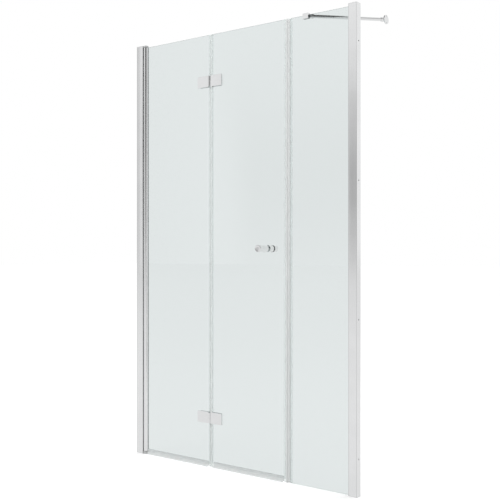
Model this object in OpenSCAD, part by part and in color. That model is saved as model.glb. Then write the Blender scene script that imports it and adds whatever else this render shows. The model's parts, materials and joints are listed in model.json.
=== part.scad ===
// Folding shower door with a fixed in-line panel, for a niche.
// X runs along the door from the left wall, Y from outside to inside, Z up from the tray.

/* [Niche] */
// Width of the niche from wall to wall
niche_w = 1200; // [1150:1:1300]
// Height over the profile caps
door_h = 1950; // [1850:1:2050]

/* [Glass] */
// Thickness of the glass
glass_t = 6; // [5:0.5:8]
// Width of the fixed glass
fixed_w = 306.5; // [280:0.5:330]
// How much wider the handle leaf's glass is than the wall leaf's
leaf_difference = 10; // [0:1:30]
// Height of the leaves' glass above the tray
leaf_lift = 14; // [12:0.5:20]
// Height of the fixed glass above the tray
fixed_lift = 3; // [2:0.5:6]
// Distance from the top of the glass up to the top of the caps
glass_drop = 9; // [8:0.5:14]
// Depth of the fixed glass in its carrier
glass_seat = 22; // [16:1:24]

/* [Wall profiles] */
// Width of a wall profile seen from outside
profile_face = 39; // [37:0.5:50]
// Depth of a wall profile from outside to inside
profile_depth = 30; // [29:0.5:36]
// Wall thickness of a wall profile
profile_wall = 2; // [1.5:0.1:2.5]
// Thickness of a profile cap
cap_t = 2; // [1.5:0.5:4]
// Depth of a cap's plug in its profile
cap_plug_h = 8; // [5:1:14]
// Length of a cap's plug along the profile's face
cap_plug_l = 7; // [5:0.5:8]
// Radius of the wall screw holes
wall_hole_r = 2.75; // [2:0.25:3.5]
// Distance between wall screw holes
wall_hole_pitch = 550; // [450:10:580]

/* [Carrier of the fixed glass] */
// Depth of the carrier profile from its mouth to its back
carrier_l = 28; // [26:1:30]
// Distance from the mouth of the wall profile to the mouth of the carrier
carrier_inset = 2; // [1:0.5:4]
// Wall thickness of the carrier
carrier_wall = 2; // [1.5:0.1:2.5]
// Thickness of a glazing gasket
gasket_t = 1.5; // [1:0.25:2]
// Depth of a glazing gasket along the glass
gasket_l = 16; // [10:1:16]
// Length of the setting block under the fixed glass
setting_l = 18; // [10:1:20]

/* [Pivot] */
// Distance from the mouth of the wall profile to the pivot axis
pivot_lead = 7.5; // [7:0.5:10]
// Gap between the round pivot profile and the wall profile's lips
pivot_gap = 0.5; // [0.4:0.1:1.5]
// Radius of the round hole along the pivot profile
pivot_hole_r = 5; // [4.5:0.25:5.5]
// Wall of the pivot profile beside the glass
jaw_wall = 2.5; // [1.5:0.25:3]
// Web of the pivot profile between its hole and the glass
jaw_web = 2; // [1.5:0.25:4]
// Depth of the glass between the pivot profile's jaws
jaw_seat = 8; // [6:0.5:12]
// Radius of the pivot pins
pivot_pin_r = 3; // [2:0.25:3.5]
// Length of a pivot pin inside the pivot profile
pivot_pin_l = 22; // [20:1:40]
// Length of a bush inside the pivot profile
bush_l = 18; // [10:1:19]
// Radius of a bush's flange
bush_flange_r = 8; // [7:0.25:10]
// Thickness of the upper bush's flange
upper_flange_t = 1.2; // [0.8:0.1:1.5]
// Thickness of the lower pivot block under the pivot profile
nose_t = 12; // [9:0.5:12]
// Height of a pivot block inside the wall profile
block_h = 60; // [45:1:90]
// Radius of the block screws
block_screw_r = 2; // [1.5:0.25:2.5]
// Distance between the two screws of a block
block_screw_pitch = 26; // [20:1:30]
// Depth of the seal strip behind the pivot profile
strip_l = 6; // [4:0.5:8]

/* [Fold hinges] */
// Height of the lower hinge's centre
lower_hinge_z = 221; // [120:1:400]
// Distance from the top of the glass down to the upper hinge's centre
upper_hinge_drop = 209; // [120:1:400]
// Height of the hinge plates
hinge_h = 50; // [46:1:70]
// Length of an outer hinge plate
plate_w = 63; // [58:1:80]
// Thickness of an outer hinge plate
plate_t = 6; // [5.5:0.25:8]
// Length of a back plate
back_w = 54; // [54:1:56]
// Thickness of a back plate
back_t = 5; // [4.5:0.25:7]
// Radius of the plates' far corners
plate_corner_r = 3; // [1:0.5:6]
// Thickness of the glass pads
pad_t = 1; // [0.5:0.25:2]
// Radius of the knuckles
knuckle_r = 5; // [4:0.25:5.5]
// Height of both knuckles together
knuckle_h = 46; // [36:1:46]
// Gap between the plates on each side of the fold axis
plate_gap = 6; // [6:0.25:8]
// Distance of the fold axis in front of the outer plates
fold_proud = 0.5; // [0.25:0.25:2]
// Radius of a hinge pin
hinge_pin_r = 2; // [1.5:0.25:2.5]
// Thickness of the thrust washer
washer_t = 0.8; // [0.5:0.1:1.5]
// Radius of the hinge screws
hinge_screw_r = 2.5; // [2:0.25:3]
// Distance from a plate's inner edge to its first screw
screw_near = 18; // [15:0.5:20]
// Distance between the two screws of a plate
screw_pitch = 28; // [20:1:30]
// Radius of the holes in the glass at the hinges
hinge_glass_r = 5.5; // [5:0.25:7]
// Length of a knuckle's tab under the outer plate
tab_l = 25; // [22:0.5:26]
// Thickness of a knuckle's tab
tab_t = 3; // [2:0.25:3.5]

/* [Seals] */
// Wall thickness of the seals on the glass
seal_wall = 1; // [0.8:0.1:1.4]
// Gap between the wall leaf's glass and the fold axis
fold_near = 3; // [2.5:0.5:5]
// Gap between the fold axis and the handle leaf's glass
fold_far = 8.5; // [7:0.5:12]
// Length of the fold seal on the wall leaf's glass
fold_grip_near = 6; // [4:0.5:10]
// Length of the fold seal on the handle leaf's glass
fold_grip_far = 8; // [4:0.5:12]
// Length of the magnet seals' grip on the glass
magnet_grip = 10; // [6:0.5:14]
// Length of the magnet seals' head past the glass
magnet_head = 11.4; // [9:0.2:16]
// Thickness of the magnet seals' head
magnet_head_t = 12; // [10.5:0.5:14]
// Gap between the closed magnet seals
magnet_gap = 0.7; // [0.6:0.1:1.5]
// Thickness of the magnet strips
magnet_t = 3.8; // [2.5:0.1:5]
// Height of the bottom seal's grip on the glass
bottom_grip = 10; // [6:0.5:16]
// Gap between the bottom seals and the tray
drip_gap = 1; // [1:0.5:3]
// How far the bottom seals' lip leans out past their grip
drip_lean = 8; // [4:0.5:9]

/* [Knob] */
// Diameter of the knobs
knob_d = 30; // [26:1:40]
// Length of a knob
knob_l = 63; // [52:1:66]
// Height of the knobs above the tray
knob_z = 980; // [850:1:1100]
// Distance from the handle leaf's closing edge to the knobs
knob_inset = 99; // [60:1:140]
// Diameter of a knob's neck at the glass
knob_neck_d = 24; // [22:1:25]
// Length of a knob's neck
knob_neck_l = 3; // [2:0.5:6]
// Radius of the stud through the glass
stud_r = 4; // [3:0.25:5]
// Depth of the stud in a knob
stud_l = 16; // [12:1:24]
// Radius of the hole in the glass at the knob
knob_glass_r = 6; // [5.75:0.25:8]
// Thickness of the washers between knob and glass
knob_washer_t = 1; // [0.5:0.25:2]
// Width of the buffer ring on the inner knob
ring_w = 8; // [3:0.5:10]
// Distance from the inner knob's end to its buffer ring
ring_inset = 24; // [8:1:26]

/* [Support bar] */
// Diameter of the support bar
bar_d = 14; // [12:1:15]
// Distance from the fixed glass's free edge to the bar's axis
bar_inset = 81.5; // [60:0.5:120]
// Depth of the bar's centre under the top of the glass
bar_under = 4; // [2:0.5:5]
// Wall of the sockets round the bar
socket_wall = 2; // [1.5:0.25:3]
// Length of the bar in its sockets
bar_seat = 11; // [8:0.5:12]
// Width of the clamp along the glass
clamp_w = 27; // [24:1:32]
// Height of the clamp
clamp_h = 22; // [20:1:28]
// Thickness of the clamp's cheeks
clamp_cheek = 5; // [4:0.5:6]
// Radius of the bracket on the right wall
bracket_r = 19; // [18:0.5:26]
// Thickness of the bracket
bracket_t = 4; // [3:0.5:6]
// Radius of the bracket's screw holes
bracket_hole_r = 2.25; // [1.5:0.25:2.5]
// Distance between the bracket's screw holes
bracket_pitch = 27; // [26.5:0.5:28]

/* [Hidden] */
$fn = 64;

// Clearances shared by the fits
fit_gap = 0.2;
screw_gap = 0.05;
press_gap = 0.02;
run_gap = 0.05;
turn_gap = 0.3;
cut = 1;

// Fixed small sizes
cap_clear = 0.5;
setting_start = 1;
seal_start_gap = 1.5;
socket_share = 0.6;
block_back_gap = 3;
block_screw_bite = 8;
carrier_screw_bite = 3;
screw_head_h = 2;
socket_depth = 1.2;
strip_gap = 0.4;
seal_end_gap = 0.5;
bulb_chamfer = 1;
head_chamfer = 1.2;
cell_wall = 1.4;
window_gap = 1;
tab_half = 10;
pad_inset = 1;
hinge_head_r = 4;
hinge_head_h = 3;
hinge_skin = 1.2;
pin_end = 1;
knob_chamfer = 1;
ring_depth = 1.6;
ring_proud = 0.4;
clamp_lead = 9.5;
clamp_over = 7;
clamp_screw_r = 3;
clamp_screw_in = 8;
boss_out = 11;
bracket_boss_l = 26;
grub_r = 2;
root2 = sqrt(2);

// Heights
profile_h = door_h - cap_t;
glass_top = door_h - glass_drop;
carrier_h = profile_h - cap_plug_h - cap_clear;
wall_hole_z0 = (profile_h - 3 * wall_hole_pitch) / 2;
upper_nose_z = glass_top + upper_flange_t + turn_gap;
upper_hinge_z = glass_top - upper_hinge_drop;
block_screw_z = (block_h - block_screw_pitch) / 2;
bar_z = glass_top - bar_under;
clamp_z1 = glass_top + clamp_over;
clamp_z0 = clamp_z1 - clamp_h;

// Places across the door
glass_half = glass_t / 2;
grip_half = glass_half + seal_wall;
channel_in = profile_depth / 2 - profile_wall;
pivot_x = profile_face + pivot_lead;
pivot_r = channel_in - pivot_gap;
jaw_half = glass_half + jaw_wall;
carrier_x0 = niche_w - profile_face + carrier_inset;
setting_x0 = carrier_x0 + setting_start;
fixed_x1 = carrier_x0 + glass_seat;
fixed_x0 = fixed_x1 - fixed_w;
glass2_x1 = fixed_x0 - 2 * magnet_head - magnet_gap;
glass1_x0 = pivot_x + pivot_hole_r + jaw_web;
jaw_x1 = glass1_x0 + jaw_seat;
leaf_space = glass2_x1 - glass1_x0 - fold_near - fold_far;
glass1_x1 = glass1_x0 + (leaf_space - leaf_difference) / 2;
fold_x = glass1_x1 + fold_near;
glass2_x0 = fold_x + fold_far;
bulb_l = fold_near + fold_far - seal_wall - strip_gap;
slot_half = glass_half + gasket_t;
carrier_half = channel_in - fit_gap;
seal1_x0 = max(jaw_x1, pivot_x + profile_depth / 2) + seal_start_gap;

// Pivot blocks
block_x0 = profile_wall + cap_plug_l + block_back_gap;
block_x1 = pivot_x - pivot_r - pivot_gap;
block_half = channel_in - fit_gap;
nose_r = pivot_r - pivot_gap;

// Hinge planes, measured outward from the middle of the glass
plate_back = glass_half + pad_t;
plate_front = plate_back + plate_t;
fold_y = plate_front + fold_proud;
back_out = plate_back + back_t;
hinge_zs = [lower_hinge_z, upper_hinge_z];
screw_us = [plate_gap + screw_near, plate_gap + screw_near + screw_pitch];

// Magnet cell in the seal heads
magnet_half = magnet_head_t / 2 - cell_wall * seal_wall;
cell_x1 = magnet_head - seal_wall;
cell_x0 = cell_x1 - magnet_t - 2 * press_gap;

// Knob
knob_x = glass2_x1 - knob_inset;
knob_y0 = glass_half + knob_washer_t;

// Support bar, at 45 degrees to the glass
bar_r = bar_d / 2;
boss_r = bar_r + screw_gap + socket_wall;
bar_x0 = fixed_x0 + bar_inset;
bar_reach = niche_w - bar_x0;
clamp_x1 = bar_x0 + clamp_lead;
clamp_x0 = clamp_x1 - clamp_w;
clamp_in = glass_half + pad_t;
clamp_out = clamp_in + clamp_cheek;
boss_y1 = clamp_out + boss_out;
boss_l = boss_y1 * root2;
bar_l = bar_reach * root2;

// Block between two opposite corners
module block(low, high) {
    translate(low) cube(high - low);
}

// Round bar along Y between two depths
module rod_y(x, z, y0, y1, r) {
    translate([x, y0, z]) rotate([-90, 0, 0]) cylinder(r = r, h = y1 - y0);
}

// Round bar along Z between two heights
module rod_z(x, y, z0, z1, r) {
    translate([x, y, z0]) cylinder(r = r, h = z1 - z0);
}

// Flat part standing in the plane of the glass, between two depths
module panel(y0, y1) {
    translate([0, y1, 0]) rotate([90, 0, 0]) linear_extrude(y1 - y0) children();
}

// Wall profile, open towards +X
module wall_channel(side_screws) {
    holes = [for (i = [0:3]) wall_hole_z0 + i * wall_hole_pitch];
    difference() {
        block([0, -profile_depth / 2, 0], [profile_face, profile_depth / 2, profile_h]);
        block([profile_wall, -channel_in, -cut], [profile_face + cut, channel_in, profile_h + cut]);
        for (z = holes)
            translate([-cut, 0, z]) rotate([0, 90, 0])
                cylinder(r = wall_hole_r, h = profile_wall + 2 * cut);
        for (p = side_screws)
            rod_y(p[0], p[1], channel_in - cut, profile_depth / 2 + cut, block_screw_r + fit_gap);
    }
}

// Cap of a wall profile, with its plug beside the web
module profile_cap(tongue) {
    block([0, -profile_depth / 2, profile_h], [profile_face, profile_depth / 2, door_h]);
    block([profile_wall + fit_gap, -block_half, profile_h - cap_plug_h],
        [profile_wall + fit_gap + cap_plug_l, block_half, profile_h]);
    if (tongue) {
        block([profile_face - cut, -pivot_r, profile_h], [pivot_x, pivot_r, door_h]);
        rod_z(pivot_x, 0, profile_h, door_h, pivot_r);
    }
}

// Screw from inside through the inner lip of a wall profile
module lip_screw(x, z, bite) {
    face = profile_depth / 2;
    difference() {
        union() {
            rod_y(x, z, face, face + screw_head_h, 2 * block_screw_r);
            rod_y(x, z, channel_in - bite, face + cut / 2, block_screw_r - screw_gap);
        }
        translate([x, face + screw_head_h + cut, z]) rotate([90, 0, 0])
            cylinder(r = socket_share * block_screw_r, h = socket_depth + cut, $fn = 6);
    }
}

block_screw_xzs = [
    for (z0 = [0, profile_h - block_h], dz = [0, block_screw_pitch])
        [(block_x0 + block_x1) / 2, z0 + block_screw_z + dz]
];
carrier_screw_x = profile_face - carrier_inset - carrier_l / 2;
carrier_screw_xzs = [
    for (i = [0:2]) [carrier_screw_x, wall_hole_z0 + (i + 0.5) * wall_hole_pitch]
];

// Block that holds a pivot pin: a stem in the wall profile and a round nose on the axis
module pivot_block(z0, nose_z0, nose_z1, pin_z0, pin_z1) {
    difference() {
        union() {
            block([block_x0, -block_half, z0], [block_x1, block_half, z0 + block_h]);
            block([block_x1 - cut, -nose_r, nose_z0], [pivot_x, nose_r, nose_z1]);
            rod_z(pivot_x, 0, nose_z0, nose_z1, nose_r);
        }
        rod_z(pivot_x, 0, pin_z0, pin_z1, pivot_pin_r + press_gap);
        for (p = block_screw_xzs)
            rod_y(p[0], p[1], channel_in - block_screw_bite - cut, channel_in + cut, block_screw_r);
    }
}

// Bush in an end of the pivot profile, its flange outside
module pivot_bush(flange_z0, flange_z1, body_z0, body_z1) {
    difference() {
        union() {
            rod_z(pivot_x, 0, flange_z0, flange_z1, bush_flange_r);
            rod_z(pivot_x, 0, body_z0, body_z1, pivot_hole_r - press_gap);
        }
        rod_z(pivot_x, 0, min(flange_z0, body_z0) - cut, max(flange_z1, body_z1) + cut,
            pivot_pin_r + run_gap);
    }
}

// Outline of a seal on a glass edge at x = 0: two legs on the glass and a web past its edge
module grip_outline(grip) {
    polygon([
        [-grip, glass_half], [-grip, grip_half], [seal_wall, grip_half], [seal_wall, -grip_half],
        [-grip, -grip_half], [-grip, -glass_half], [0, -glass_half], [0, glass_half]
    ]);
}

// The same legs with a head past the edge, from x = head_x0 to x = head_x1
module headed_outline(grip, head_x0, head_x1, head_half, chamfer) {
    polygon([
        [-grip, glass_half], [-grip, grip_half], [head_x0, grip_half], [head_x0, head_half],
        [head_x1 - chamfer, head_half], [head_x1, head_half - chamfer],
        [head_x1, chamfer - head_half], [head_x1 - chamfer, -head_half],
        [head_x0, -head_half], [head_x0, -grip_half], [-grip, -grip_half], [-grip, -glass_half],
        [0, -glass_half], [0, glass_half]
    ]);
}

// Outline of a magnet seal on a glass edge at x = 0, its face at x = magnet_head
module magnet_seal_outline() {
    difference() {
        headed_outline(magnet_grip, 0, magnet_head, magnet_head_t / 2, head_chamfer);
        translate([cell_x0, -magnet_half]) square([cell_x1 - cell_x0, 2 * magnet_half]);
        translate([seal_wall, -magnet_half])
            square([cell_x0 - 2 * seal_wall, 2 * magnet_half]);
    }
}

// Magnet strip in its cell
module magnet_outline() {
    translate([cell_x0 + press_gap, press_gap - magnet_half])
        square([magnet_t, 2 * (magnet_half - press_gap)]);
}

// Outline of the handle leaf's fold seal: its hollow bulb reaches the wall leaf's seal
module bulb_seal_outline() {
    half = grip_half - seal_end_gap;
    difference() {
        headed_outline(fold_grip_far, seal_wall, bulb_l, half, bulb_chamfer);
        translate([2 * seal_wall, seal_wall - half])
            square([bulb_l - 3 * seal_wall, 2 * (half - seal_wall)]);
    }
}

// Upright seal along the fold, cut away at the hinges
module fold_strip() {
    difference() {
        translate([0, 0, drip_gap]) linear_extrude(glass_top - drip_gap) children();
        for (z = hinge_zs)
            block([glass1_x1 - 2 * plate_w, -profile_depth, z - hinge_h / 2 - window_gap],
                [glass2_x0 + 2 * plate_w, profile_depth, z + hinge_h / 2 + window_gap]);
    }
}

// Drip seal under a leaf: grip, base, straight fin inside and a lip that leans out
module drip_seal(x0, x1) {
    base = leaf_lift - 2 * seal_wall;
    top = leaf_lift + bottom_grip;
    tip = grip_half + drip_lean;
    translate([x0, 0, 0]) rotate([90, 0, 90]) linear_extrude(x1 - x0) polygon([
        [-grip_half, top], [-glass_half, top], [-glass_half, leaf_lift],
        [glass_half, leaf_lift], [glass_half, top], [grip_half, top],
        [grip_half, base], [glass_half, base], [glass_half, drip_gap],
        [glass_half - seal_wall, drip_gap], [glass_half - seal_wall, base],
        [-glass_half, base], [seal_wall - tip, drip_gap],
        [-tip, drip_gap], [-tip, drip_gap + seal_wall], [-grip_half, base + seal_wall]
    ]);
}

// Glass leaf with the holes for its hinges
module leaf_glass(x0, x1, side) {
    difference() {
        block([x0, -glass_half, leaf_lift], [x1, glass_half, glass_top]);
        for (z = hinge_zs, u = screw_us)
            rod_y(fold_x + side * u, z, -glass_t, glass_t, hinge_glass_r);
    }
}

// Sets a hinge part on the fold: side 1 is the handle leaf, side -1 the wall leaf
module on_fold(side, z) {
    translate([fold_x, 0, z]) mirror([side < 0 ? 1 : 0, 0, 0]) children();
}

// Plate outline from the fold side, its far corners rounded
module plate_outline(w) {
    r = plate_corner_r;
    translate([plate_gap, -hinge_h / 2]) {
        square([w - r, hinge_h]);
        translate([0, r]) square([w, hinge_h - 2 * r]);
        for (z = [r, hinge_h - r]) translate([w - r, z]) circle(r);
    }
}

// Outer plate with the pocket for the knuckle's tab and two threaded holes
module outer_plate() {
    difference() {
        panel(-plate_front, -plate_back) plate_outline(plate_w);
        block([plate_gap - cut, -plate_back - tab_t - press_gap, -tab_half - fit_gap],
            [plate_gap + tab_l + fit_gap, cut - plate_back, tab_half + fit_gap]);
        for (u = screw_us) rod_y(u, 0, hinge_skin - plate_front, cut - plate_back, hinge_screw_r);
    }
}

// Back plate with two counterbored holes
module back_plate() {
    difference() {
        panel(plate_back, back_out) plate_outline(back_w);
        for (u = screw_us) {
            rod_y(u, 0, 0, back_out + cut, hinge_screw_r + fit_gap);
            rod_y(u, 0, back_out - hinge_head_h, back_out + cut, hinge_head_r + fit_gap);
        }
    }
}

// Knuckle between two heights, with the tab that the plate clamps
module knuckle(z0, z1, bore_r) {
    difference() {
        union() {
            rod_z(0, -fold_y, z0, z1, knuckle_r);
            block([0, -fold_y, z0], [plate_gap - 2 * run_gap, -plate_back - run_gap, z1]);
            block([plate_gap - cap_clear, -plate_back - tab_t, -tab_half],
                [plate_gap + tab_l, -plate_back, tab_half]);
        }
        rod_z(0, -fold_y, z0 - cut, z1 + cut, bore_r);
        rod_y(screw_us[0], 0, -plate_front, 0, hinge_screw_r + fit_gap);
    }
}

module wall_knuckle() {
    knuckle(-knuckle_h / 2, -washer_t / 2, hinge_pin_r + press_gap);
}

module handle_knuckle() {
    knuckle(washer_t / 2 + turn_gap, knuckle_h / 2, hinge_pin_r + run_gap);
}

// Pads on both faces of the glass, the outer one with sleeves through the glass
module glass_pads(edge_gap) {
    u0 = max(plate_gap, edge_gap) + seal_end_gap;
    h = hinge_h / 2 - pad_inset;
    difference() {
        union() {
            block([u0, -plate_back, -h], [plate_gap + plate_w - pad_inset, -glass_half, h]);
            for (u = screw_us)
                rod_y(u, 0, -plate_back, glass_half - press_gap, hinge_glass_r - fit_gap);
        }
        for (u = screw_us) rod_y(u, 0, -plate_front, plate_front, hinge_screw_r + fit_gap);
    }
    difference() {
        block([u0, glass_half, -h], [plate_gap + back_w - pad_inset, plate_back, h]);
        for (u = screw_us) rod_y(u, 0, 0, plate_front, hinge_screw_r + fit_gap);
    }
}

module hinge_screw(u) {
    head_y = back_out - hinge_head_h;
    difference() {
        union() {
            rod_y(u, 0, head_y, back_out - fit_gap, hinge_head_r);
            rod_y(u, 0, hinge_skin + fit_gap - plate_front, head_y + cut, hinge_screw_r - screw_gap);
        }
        translate([u, back_out + cut, 0]) rotate([90, 0, 0])
            cylinder(r = socket_share * hinge_screw_r, h = socket_depth + cut, $fn = 6);
    }
}

// Solid of a knob, standing on z = 0, with the hole for its stud
module knob_body(ring) {
    r = knob_d / 2;
    c = knob_chamfer;
    ring_z1 = knob_l - ring_inset;
    difference() {
        rotate_extrude() polygon([
            [0, 0], [knob_neck_d / 2, 0], [knob_neck_d / 2, knob_neck_l], [r - c, knob_neck_l],
            [r, knob_neck_l + c], [r, knob_l - c], [r - c, knob_l], [0, knob_l]
        ]);
        translate([0, 0, -cut]) cylinder(r = stud_r + screw_gap, h = stud_l + 2 * cut);
        if (ring) translate([0, 0, ring_z1 - ring_w]) ring(r + cut, r - ring_depth, ring_w);
    }
}

// Flat ring from z = 0
module ring(r_out, r_in, h) {
    rotate_extrude() translate([r_in, 0]) square([r_out - r_in, h]);
}

// Child drawn along +Z from the knob's centre, turned to one side of the glass
module at_knob(side) {
    translate([knob_x, side * knob_y0, knob_z]) rotate([-90 * side, 0, 0]) children();
}

// Child drawn along +Z, turned onto the bar's axis at a distance from the glass plane
module on_bar(t) {
    translate([bar_x0 + t / root2, t / root2, bar_z]) rotate([0, 90, 45]) children();
}

// Upright hole or screw under the bar, at a distance along it
module under_bar(t, r, z0, z1) {
    rod_z(bar_x0 + t / root2, t / root2, bar_z - z1, bar_z - z0, r);
}

grub_ts = [boss_l - bar_seat / 2, bar_l - bracket_boss_l + bar_seat / 2];

module left_wall_profile() color("silver") wall_channel(block_screw_xzs);
module left_profile_cap() color("silver") profile_cap(true);
module channel_seal_strip() color("lightgray") {
    x1 = block_x1;
    translate([0, 0, block_h + cap_clear]) linear_extrude(profile_h - 2 * (block_h + cap_clear))
        difference() {
            translate([x1 - strip_l, -block_half]) square([strip_l + pivot_gap, 2 * block_half]);
            translate([pivot_x, 0]) circle(pivot_r + strip_gap);
        }
}
module upper_pivot_block() color("lightgray")
    pivot_block(profile_h - block_h, upper_nose_z, profile_h, upper_nose_z - cut, profile_h - pin_end);
module lower_pivot_block() color("lightgray") pivot_block(0, 0, nose_t, pin_end, nose_t + cut);
module upper_pivot_pin() color("gray")
    rod_z(pivot_x, 0, glass_top - pivot_pin_l, profile_h - pin_end, pivot_pin_r);
module lower_pivot_pin() color("gray")
    rod_z(pivot_x, 0, pin_end, leaf_lift + pivot_pin_l, pivot_pin_r);
module pivot_block_screws() color("silver")
    for (p = block_screw_xzs) lip_screw(p[0], p[1], block_screw_bite);

module from_right() translate([niche_w, 0, 0]) mirror([1, 0, 0]) children();
module right_wall_profile() color("silver") from_right() wall_channel(carrier_screw_xzs);
module right_profile_cap() color("silver") from_right() profile_cap(false);
module glass_carrier() color("lightgray") {
    chamber = carrier_half - slot_half - 2 * carrier_wall;
    difference() {
        translate([carrier_x0, 0, 0]) linear_extrude(carrier_h) difference() {
            translate([0, -carrier_half]) square([carrier_l, 2 * carrier_half]);
            translate([-cut, -slot_half]) square([glass_seat + 2 * carrier_wall, 2 * slot_half]);
            for (s = [0, 1]) mirror([0, s]) translate([carrier_wall, slot_half + carrier_wall])
                square([carrier_l - 2 * carrier_wall, chamber]);
        }
        for (p = carrier_screw_xzs)
            rod_y(niche_w - p[0], p[1], carrier_half - carrier_wall - cut, carrier_half + cut,
                block_screw_r);
    }
}
module carrier_screws() color("silver")
    for (p = carrier_screw_xzs) lip_screw(niche_w - p[0], p[1], carrier_screw_bite);
module glazing_gaskets() color("dimgray")
    for (y = [-slot_half, glass_half])
        block([carrier_x0 - carrier_inset / 2, y, fixed_lift],
            [carrier_x0 + gasket_l, y + gasket_t, carrier_h]);
module setting_block() color("dimgray")
    block([setting_x0, -glass_half, 0], [setting_x0 + setting_l, glass_half, fixed_lift]);
module base_strip() color("whitesmoke")
    block([fixed_x0, -glass_half, 0], [setting_x0 - seal_end_gap, glass_half, fixed_lift]);
module fixed_glass() color([0.85, 0.93, 0.9, 0.5])
    block([fixed_x0, -glass_half, fixed_lift], [fixed_x1, glass_half, glass_top]);
module strike_seal() color("whitesmoke") translate([fixed_x0, 0, fixed_lift]) mirror([1, 0, 0])
    linear_extrude(glass_top - fixed_lift) magnet_seal_outline();
module strike_magnet() color("white") translate([fixed_x0, 0, fixed_lift]) mirror([1, 0, 0])
    linear_extrude(glass_top - fixed_lift) magnet_outline();

module bar_clamp() color("silver") difference() {
    union() {
        block([clamp_x0, -clamp_out, clamp_z0], [clamp_x1, clamp_out, clamp_z1]);
        difference() {
            on_bar(0) cylinder(r = boss_r, h = boss_l);
            block([clamp_x0 - boss_l, -boss_l, 0], [niche_w, clamp_in, door_h + cut]);
        }
    }
    block([clamp_x0 - cut, -clamp_in, clamp_z0 - cut], [clamp_x1 + cut, clamp_in, glass_top + cap_clear]);
    on_bar(boss_l - bar_seat) cylinder(r = bar_r + screw_gap, h = bar_seat + cut);
    rod_y(clamp_x0 + clamp_screw_in, clamp_z0 + clamp_screw_in, clamp_in - cut, clamp_out + cut,
        clamp_screw_r + screw_gap);
    under_bar(grub_ts[0], grub_r + screw_gap, 0, boss_r + cut);
}
module bar_clamp_pads() color("dimgray")
    for (y = [-clamp_in, glass_half])
        block([clamp_x0 + pad_inset, y, clamp_z0 + pad_inset], [clamp_x1 - pad_inset, y + pad_t, glass_top]);
module bar_clamp_screw() color("gray") difference() {
    rod_y(clamp_x0 + clamp_screw_in, clamp_z0 + clamp_screw_in, clamp_in, clamp_out, clamp_screw_r);
    translate([clamp_x0 + clamp_screw_in, clamp_out + cut, clamp_z0 + clamp_screw_in])
        rotate([90, 0, 0]) cylinder(r = clamp_screw_r / 2, h = 2 * socket_depth + cut, $fn = 6);
}
module support_bar() color("silver") on_bar(boss_l - bar_seat + cap_clear)
    cylinder(r = bar_r, h = bar_l - boss_l - bracket_boss_l + 2 * (bar_seat - cap_clear));
module bar_wall_bracket() color("silver") difference() {
    union() {
        translate([niche_w - bracket_t, bar_reach - bracket_t / 2, bar_z]) rotate([0, 90, 0])
            cylinder(r = bracket_r, h = bracket_t);
        difference() {
            on_bar(bar_l - bracket_boss_l) cylinder(r = boss_r, h = bracket_boss_l + boss_r);
            block([niche_w, 0, 0], [niche_w + bar_l, bar_l, door_h + cut]);
        }
    }
    on_bar(bar_l - bracket_boss_l - cut) cylinder(r = bar_r + screw_gap, h = bar_seat + cut);
    for (z = [-1, 1])
        translate([niche_w - bracket_t - cut, bar_reach - bracket_t / 2, bar_z + z * bracket_pitch / 2])
            rotate([0, 90, 0]) cylinder(r = bracket_hole_r, h = bracket_t + 2 * cut);
    under_bar(grub_ts[1], grub_r + screw_gap, 0, boss_r + cut);
}
module bar_grub_screws() color("gray") for (t = grub_ts) difference() {
    under_bar(t, grub_r, bar_r + screw_gap, boss_r);
    translate([bar_x0 + t / root2, t / root2, bar_z - boss_r - cut])
        cylinder(r = grub_r / 2, h = socket_depth + cut, $fn = 6);
}

module pivot_profile() color("silver") translate([pivot_x, 0, leaf_lift])
    linear_extrude(glass_top - leaf_lift) difference() {
        union() {
            circle(pivot_r);
            translate([0, -jaw_half]) square([jaw_x1 - pivot_x, 2 * jaw_half]);
        }
        circle(pivot_hole_r);
        translate([glass1_x0 - pivot_x, -glass_half]) square([jaw_seat + cut, glass_t]);
    }
module upper_pivot_bush() color("white")
    pivot_bush(glass_top, glass_top + upper_flange_t, glass_top - bush_l, glass_top + cap_clear);
module lower_pivot_bush() color("white")
    pivot_bush(nose_t + turn_gap, leaf_lift, leaf_lift - cap_clear, leaf_lift + bush_l);
module wall_leaf_glass() color([0.85, 0.93, 0.9, 0.5]) leaf_glass(glass1_x0, glass1_x1, -1);
module wall_leaf_bottom_seal() color("whitesmoke")
    drip_seal(seal1_x0, glass1_x1 - fold_grip_near - seal_end_gap);
module wall_leaf_fold_seal() color("whitesmoke")
    fold_strip() translate([glass1_x1, 0]) grip_outline(fold_grip_near);

module upper_outer_plate_wall() color("silver") on_fold(-1, upper_hinge_z) outer_plate();
module lower_outer_plate_wall() color("silver") on_fold(-1, lower_hinge_z) outer_plate();
module upper_outer_plate_handle() color("silver") on_fold(1, upper_hinge_z) outer_plate();
module lower_outer_plate_handle() color("silver") on_fold(1, lower_hinge_z) outer_plate();
module upper_back_plate_wall() color("silver") on_fold(-1, upper_hinge_z) back_plate();
module lower_back_plate_wall() color("silver") on_fold(-1, lower_hinge_z) back_plate();
module upper_back_plate_handle() color("silver") on_fold(1, upper_hinge_z) back_plate();
module lower_back_plate_handle() color("silver") on_fold(1, lower_hinge_z) back_plate();
module upper_knuckle_wall() color("silver") on_fold(-1, upper_hinge_z) wall_knuckle();
module lower_knuckle_wall() color("silver") on_fold(-1, lower_hinge_z) wall_knuckle();
module upper_knuckle_handle() color("silver") on_fold(1, upper_hinge_z) handle_knuckle();
module lower_knuckle_handle() color("silver") on_fold(1, lower_hinge_z) handle_knuckle();
module wall_hinge_pads() color("lightgray") for (z = hinge_zs) on_fold(-1, z) glass_pads(fold_near);
module handle_hinge_pads() color("lightgray") for (z = hinge_zs) on_fold(1, z) glass_pads(fold_far);
module wall_hinge_screws() color("gray")
    for (z = hinge_zs, u = screw_us) on_fold(-1, z) hinge_screw(u);
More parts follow.
